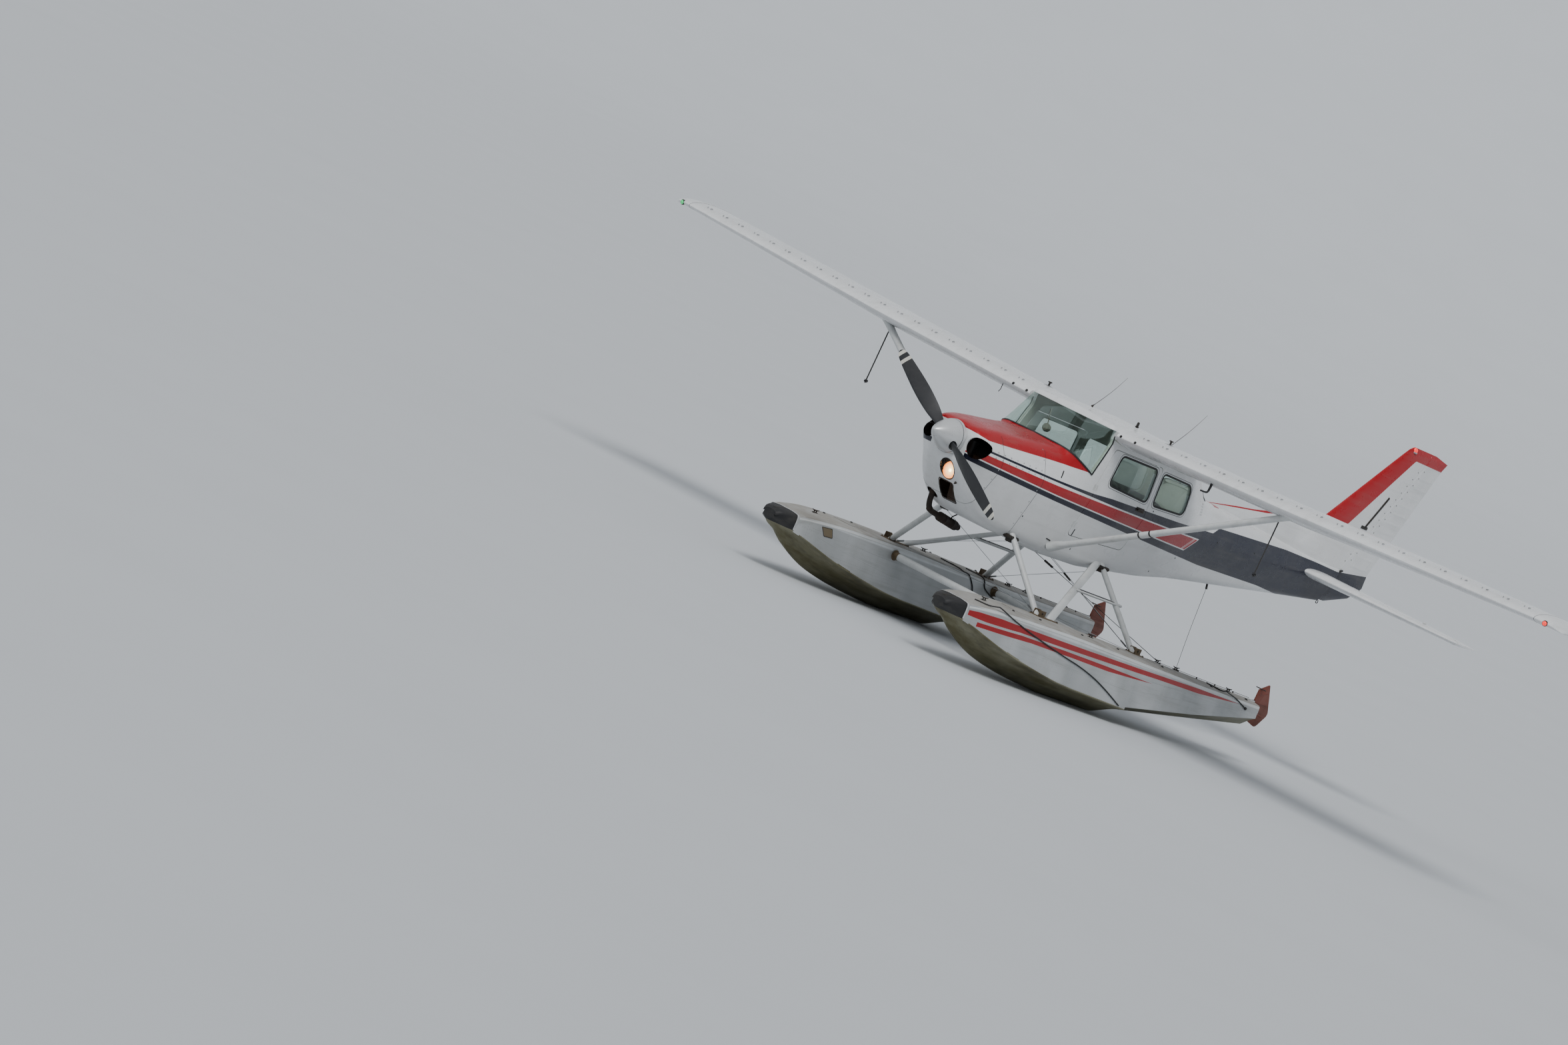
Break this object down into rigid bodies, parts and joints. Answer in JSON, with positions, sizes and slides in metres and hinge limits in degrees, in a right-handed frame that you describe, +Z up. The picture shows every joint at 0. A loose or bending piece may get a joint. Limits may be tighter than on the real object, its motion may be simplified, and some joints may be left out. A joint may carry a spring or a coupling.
{
  "type": "high-wing floatplane",
  "caption": "High-wing strut-braced light aircraft on twin floats, with a nose propeller, a four-seat cabin, hinged doors and control surfaces and steering rudders on the floats.",
  "frame": {"origin": "centre of the base, on the ground plane under the two keels, half way along the length", "axes": "+X to the aircraft's left wing, +Y aft towards the tail, +Z up"},
  "size_m": [11.04, 8.492, 3.418],
  "materials": {
    "white_paint": "satin white paint over sheet aluminium",
    "red_paint": "gloss red paint over sheet aluminium",
    "float_paint": "weathered grey-white paint over sheet aluminium",
    "bare_metal": "satin bare aluminium",
    "spinner_paint": "satin grey-white paint, chipped",
    "black_paint": "matte black paint",
    "engine_iron": "dark cast block",
    "exhaust_steel": "rust brown heat-stained steel",
    "rudder_paint": "brown-black weathered paint",
    "window_plastic": "clear, faintly green tinted",
    "lamp_glass": "clear lamp glass",
    "bumper_rubber": "matte black rubber",
    "seat_cloth": "dark grey cloth",
    "panel_plastic": "matte black",
    "rope_fibre": "dark braided rope"
  },
  "bodies": {
    "airframe": {"cowl_lower": "white_paint", "cowl_upper": "red_paint", "landing_light": "lamp_glass", "engine_block": "engine_iron", "exhaust": "exhaust_steel", "cabin_shell": "white_paint", "windshield": "window_plastic", "rear_window": "window_plastic", "quarter_window_left": "window_plastic", "quarter_window_right": "window_plastic", "instrument_panel": "panel_plastic", "front_seat_left": "seat_cloth", "front_seat_right": "seat_cloth", "rear_seat": "seat_cloth", "tail_cone": "white_paint", "fin": "white_paint", "stabilizer_left": "white_paint", "stabilizer_right": "white_paint", "wing_left": "white_paint", "wing_right": "white_paint", "wing_strut_left": "white_paint", "wing_strut_right": "white_paint", "float_left": "float_paint", "float_right": "float_paint", "bow_bumper_left": "bumper_rubber", "bow_bumper_right": "bumper_rubber", "float_strut_front_left": "white_paint", "float_strut_front_right": "white_paint", "float_strut_diagonal_left": "white_paint", "float_strut_diagonal_right": "white_paint", "float_strut_rear_left": "white_paint", "float_strut_rear_right": "white_paint", "footstep_left": "white_paint", "footstep_right": "white_paint", "spreader_front": "bare_metal", "spreader_rear": "bare_metal", "mooring_rope_left": "rope_fibre", "mooring_rope_right": "rope_fibre"},
    "propeller": {"propeller": "black_paint", "spinner": "spinner_paint"},
    "aileron_left": {"aileron_left": "white_paint"},
    "aileron_right": {"aileron_right": "white_paint"},
    "flap_left": {"flap_left": "white_paint"},
    "flap_right": {"flap_right": "white_paint"},
    "elevator": {"elevator_left": "white_paint", "elevator_right": "white_paint", "elevator_tube": "bare_metal"},
    "rudder": {"rudder": "white_paint"},
    "door_left": {"door_left": "white_paint", "door_window_left": "window_plastic"},
    "door_right": {"door_right": "white_paint", "door_window_right": "window_plastic"},
    "water_rudder_left": {"water_rudder_left": "rudder_paint"},
    "water_rudder_right": {"water_rudder_right": "rudder_paint"}
  },
  "joints": [
    {"name": "propeller_spin", "type": "hinge", "parent": "airframe", "child": "propeller", "pos_m": [0, -3.731, 1.82], "axis": [0, -1, 0], "continuous": true},
    {"name": "aileron_left_hinge", "type": "hinge", "parent": "airframe", "child": "aileron_left", "pos_m": [2.574, -0.79183, 2.47818], "axis": [0.9956, -0.0738, 0.0585], "range_deg": [-15, 20]},
    {"name": "aileron_right_hinge", "type": "hinge", "parent": "airframe", "child": "aileron_right", "pos_m": [-2.574, -0.79183, 2.47818], "axis": [-0.9956, -0.0738, 0.0585], "range_deg": [-20, 15]},
    {"name": "flap_left_hinge", "type": "hinge", "parent": "airframe", "child": "flap_left", "pos_m": [0.6, -0.84311, 2.37878], "axis": [-0.9995, 0, -0.0332], "range_deg": [0, 40]},
    {"name": "flap_right_hinge", "type": "hinge", "parent": "airframe", "child": "flap_right", "pos_m": [-0.6, -0.84311, 2.37878], "axis": [-0.9995, 0, 0.0332], "range_deg": [0, 40]},
    {"name": "elevator_hinge", "type": "hinge", "parent": "airframe", "child": "elevator", "pos_m": [0, 3.054, 1.885], "axis": [1, 0, 0], "range_deg": [-23, 28]},
    {"name": "rudder_hinge", "type": "hinge", "parent": "airframe", "child": "rudder", "pos_m": [0, 3.032, 1.645], "axis": [0, 0.4518, 0.8921], "range_deg": [-17, 17]},
    {"name": "door_left_hinge", "type": "hinge", "parent": "airframe", "child": "door_left", "pos_m": [0.545, -1.986, 1.82], "axis": [0, 0, -1], "range_deg": [0, 75]},
    {"name": "door_right_hinge", "type": "hinge", "parent": "airframe", "child": "door_right", "pos_m": [-0.545, -1.986, 1.82], "axis": [0, 0, 1], "range_deg": [0, 75]},
    {"name": "water_rudder_left_pivot", "type": "hinge", "parent": "airframe", "child": "water_rudder_left", "pos_m": [1.06, 1.176, 0.533], "axis": [0, 0, 1], "range_deg": [-30, 30]},
    {"name": "water_rudder_right_pivot", "type": "hinge", "parent": "airframe", "child": "water_rudder_right", "pos_m": [-1.06, 1.176, 0.533], "axis": [0, 0, 1], "range_deg": [-30, 30]}
  ],
  "couplings": [
    {"joint": "flap_right_hinge", "follows": "flap_left_hinge", "ratio": 1},
    {"joint": "water_rudder_left_pivot", "follows": "rudder_hinge", "ratio": 1.5},
    {"joint": "water_rudder_right_pivot", "follows": "rudder_hinge", "ratio": 1.5}
  ]
}
